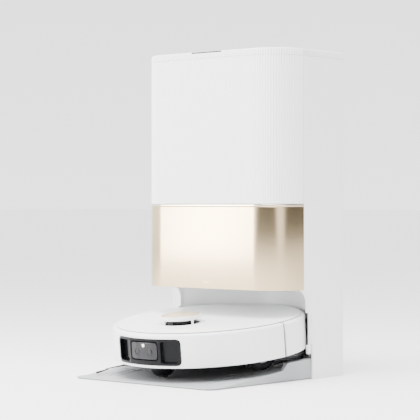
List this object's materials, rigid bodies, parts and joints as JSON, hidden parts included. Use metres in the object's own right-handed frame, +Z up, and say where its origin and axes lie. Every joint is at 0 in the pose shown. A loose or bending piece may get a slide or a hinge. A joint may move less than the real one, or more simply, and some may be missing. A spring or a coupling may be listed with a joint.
{
  "type": "robot vacuum with cleaning dock",
  "caption": "Disc-shaped robot vacuum and mop parked on the ramp of a tall docking base that empties, washes and charges it.",
  "frame": {"origin": "on the floor, at the centre of the footprint: the dock's front lip to its back, and midway between its sides", "axes": "+Z up, the dock's fluted front and the robot's bumper face -Y, +X is the dock's right side seen from the front"},
  "size_m": [0.35, 0.38, 0.5905],
  "materials": {
    "white_plastic": "smooth satin-gloss moulded white plastic",
    "tray_plastic": "fine-textured off-white moulded plastic",
    "grey_plastic": "matte light grey moulded plastic",
    "champagne": "satin champagne metallic lacquer",
    "black_plastic": "satin black moulded plastic",
    "dark_glass": "dark infrared-pass window, polished",
    "rubber": "matte black rubber",
    "tyre_rubber": "soft ribbed tyre rubber",
    "steel": "drawn steel rod",
    "nickel": "plated spring contact",
    "clear_tank": "clear tinted tank plastic",
    "smoke_tank": "smoke tinted tank plastic",
    "bag_paper": "non-woven filter fleece",
    "mop_cloth": "looped microfibre",
    "bristle": "nylon bristles in a soft arm",
    "circuit_board": "glass-fibre circuit board",
    "battery_wrap": "heat-shrink film",
    "lamp": "diffusing lamp lens"
  },
  "bodies": {
    "dock": {"dock_housing": "white_plastic", "dock_frame": "tray_plastic", "recess_liner": "white_plastic", "base_tray": "tray_plastic", "ramp_plate": "grey_plastic", "washboard": "grey_plastic", "fluted_panel": "white_plastic", "lid_hinge_rod": "steel", "clean_water_tank": "clear_tank", "clean_tank_cap": "white_plastic", "dirty_water_tank": "smoke_tank", "dirty_tank_cap": "white_plastic", "dust_bag": "bag_paper", "dust_bag_collar": "bag_paper", "suction_fan": "black_plastic", "suction_duct": "black_plastic", "detergent_cartridge": "grey_plastic", "wash_pump": "black_plastic", "dock_control_board": "circuit_board", "power_inlet": "black_plastic", "foot_frame": "rubber"},
    "lid": {"top_lid": "white_plastic"},
    "door": {"lower_door": "champagne", "door_trim_strip": "champagne"},
    "roller_left": {"guide_roller_left": "rubber"},
    "roller_right": {"guide_roller_right": "rubber"},
    "contact_left": {"charge_contact_left": "nickel"},
    "contact_right": {"charge_contact_right": "nickel"},
    "robot": {"robot_chassis": "black_plastic", "robot_side_shell": "white_plastic", "rear_vent_band": "black_plastic", "sensor_surround": "black_plastic", "sensor_window": "dark_glass", "sensor_lamp": "lamp", "lidar_housing": "white_plastic", "lidar_cap": "champagne", "brush_guard": "black_plastic", "robot_dust_box": "smoke_tank", "battery_pack": "battery_wrap", "robot_fan": "black_plastic"},
    "bumper": {"front_bumper": "white_plastic"},
    "cover": {"top_cover": "white_plastic"},
    "lidar": {"lidar_head": "black_plastic"},
    "power_button": {"power_key": "white_plastic"},
    "home_button": {"home_key": "white_plastic"},
    "suspension_left": {"wheel_arm_left": "black_plastic"},
    "suspension_right": {"wheel_arm_right": "black_plastic"},
    "wheel_left": {"drive_tyre_left": "tyre_rubber", "wheel_hub_left": "grey_plastic"},
    "wheel_right": {"drive_tyre_right": "tyre_rubber", "wheel_hub_right": "grey_plastic"},
    "caster": {"caster_fork": "black_plastic"},
    "caster_roller": {"caster_wheel": "rubber"},
    "brush_side": {"side_brush": "bristle"},
    "brush_main": {"main_brush": "rubber"},
    "mop_carriage": {"mop_lift_bracket": "black_plastic"},
    "mop_left": {"mop_disc_left": "grey_plastic", "mop_pad_left": "mop_cloth"},
    "mop_right": {"mop_disc_right": "grey_plastic", "mop_pad_right": "mop_cloth"}
  },
  "joints": [
    {"name": "robot_dock_drive", "type": "hinge", "parent": "dock", "child": "robot", "pos_m": [0, -0.37521, 3.68872], "axis": [-1, 0, 0], "range_deg": [0, 5.87]},
    {"name": "lid_hinge", "type": "hinge", "parent": "dock", "child": "lid", "pos_m": [0, 0.185, 0.5825], "axis": [-1, 0, 0], "range_deg": [0, 95]},
    {"name": "door_pull", "type": "slide", "parent": "dock", "child": "door", "axis": [0, -1, 0], "range_m": [0, 0.1]},
    {"name": "guide_roller_left_spin", "type": "hinge", "parent": "dock", "child": "roller_left", "pos_m": [-0.16, 0.084, 0.052], "axis": [0, 0, 1], "continuous": true},
    {"name": "charge_contact_left_press", "type": "slide", "parent": "dock", "child": "contact_left", "axis": [0, 1, 0], "range_m": [0, 0.002], "stiffness_N_per_m": 500, "springref_m": -0.001},
    {"name": "guide_roller_right_spin", "type": "hinge", "parent": "dock", "child": "roller_right", "pos_m": [0.16, 0.084, 0.052], "axis": [0, 0, 1], "continuous": true},
    {"name": "charge_contact_right_press", "type": "slide", "parent": "dock", "child": "contact_right", "axis": [0, 1, 0], "range_m": [0, 0.002], "stiffness_N_per_m": 500, "springref_m": -0.001},
    {"name": "bumper_press", "type": "slide", "parent": "robot", "child": "bumper", "axis": [0, 0.9948, 0.1023], "range_m": [0, 0.0035], "stiffness_N_per_m": 900, "springref_m": -0.002},
    {"name": "cover_lift", "type": "slide", "parent": "robot", "child": "cover", "axis": [0, -0.1023, 0.9948], "range_m": [0, 0.03]},
    {"name": "lidar_spin", "type": "hinge", "parent": "robot", "child": "lidar", "pos_m": [0, -0.08082, 0.1017], "axis": [0, -0.1023, 0.9948], "continuous": true},
    {"name": "power_key_press", "type": "slide", "parent": "robot", "child": "power_button", "axis": [0, 0.1023, -0.9948], "range_m": [0, 0.001], "stiffness_N_per_m": 600, "springref_m": -0.0005},
    {"name": "home_key_press", "type": "slide", "parent": "robot", "child": "home_button", "axis": [0, 0.1023, -0.9948], "range_m": [0, 0.001], "stiffness_N_per_m": 600, "springref_m": -0.0005},
    {"name": "suspension_left_swing", "type": "hinge", "parent": "robot", "child": "suspension_left", "pos_m": [-0.098, -0.04805, 0.05681], "axis": [1, 0, 0], "range_deg": [0, 7], "stiffness_Nm_per_rad": 4, "springref_deg": -5.73},
    {"name": "drive_wheel_left_spin", "type": "hinge", "parent": "suspension_left", "child": "wheel_left", "pos_m": [-0.115, -0.00168, 0.05555], "axis": [1, 0, 0], "continuous": true},
    {"name": "suspension_right_swing", "type": "hinge", "parent": "robot", "child": "suspension_right", "pos_m": [0.098, -0.04805, 0.05681], "axis": [1, 0, 0], "range_deg": [0, 7], "stiffness_Nm_per_rad": 4, "springref_deg": -5.73},
    {"name": "drive_wheel_right_spin", "type": "hinge", "parent": "suspension_right", "child": "wheel_right", "pos_m": [0.115, -0.00168, 0.05555], "axis": [1, 0, 0], "continuous": true},
    {"name": "caster_swivel", "type": "hinge", "parent": "robot", "child": "caster", "pos_m": [0, -0.12834, 0.01639], "axis": [0, -0.1023, 0.9948], "continuous": true},
    {"name": "caster_wheel_spin", "type": "hinge", "parent": "caster", "child": "caster_roller", "pos_m": [0, -0.12826, 0.0156], "axis": [1, 0, 0], "continuous": true},
    {"name": "side_brush_spin", "type": "hinge", "parent": "robot", "child": "brush_side", "pos_m": [-0.108, -0.09641, 0.01867], "axis": [0, -0.1023, 0.9948], "continuous": true},
    {"name": "main_brush_spin", "type": "hinge", "parent": "robot", "child": "brush_main", "pos_m": [0, -0.00334, 0.04231], "axis": [1, 0, 0], "continuous": true},
    {"name": "mop_lift", "type": "slide", "parent": "robot", "child": "mop_carriage", "axis": [0, -0.1023, 0.9948], "range_m": [-0.0026, 0.006]},
    {"name": "mop_left_spin", "type": "hinge", "parent": "mop_carriage", "child": "mop_left", "pos_m": [-0.066, 0.09119, 0.03695], "axis": [0, -0.1023, 0.9948], "continuous": true},
    {"name": "mop_right_spin", "type": "hinge", "parent": "mop_carriage", "child": "mop_right", "pos_m": [0.066, 0.09119, 0.03695], "axis": [0, -0.1023, 0.9948], "continuous": true}
  ],
  "couplings": [
    {"joint": "mop_right_spin", "follows": "mop_left_spin", "ratio": -1}
  ]
}
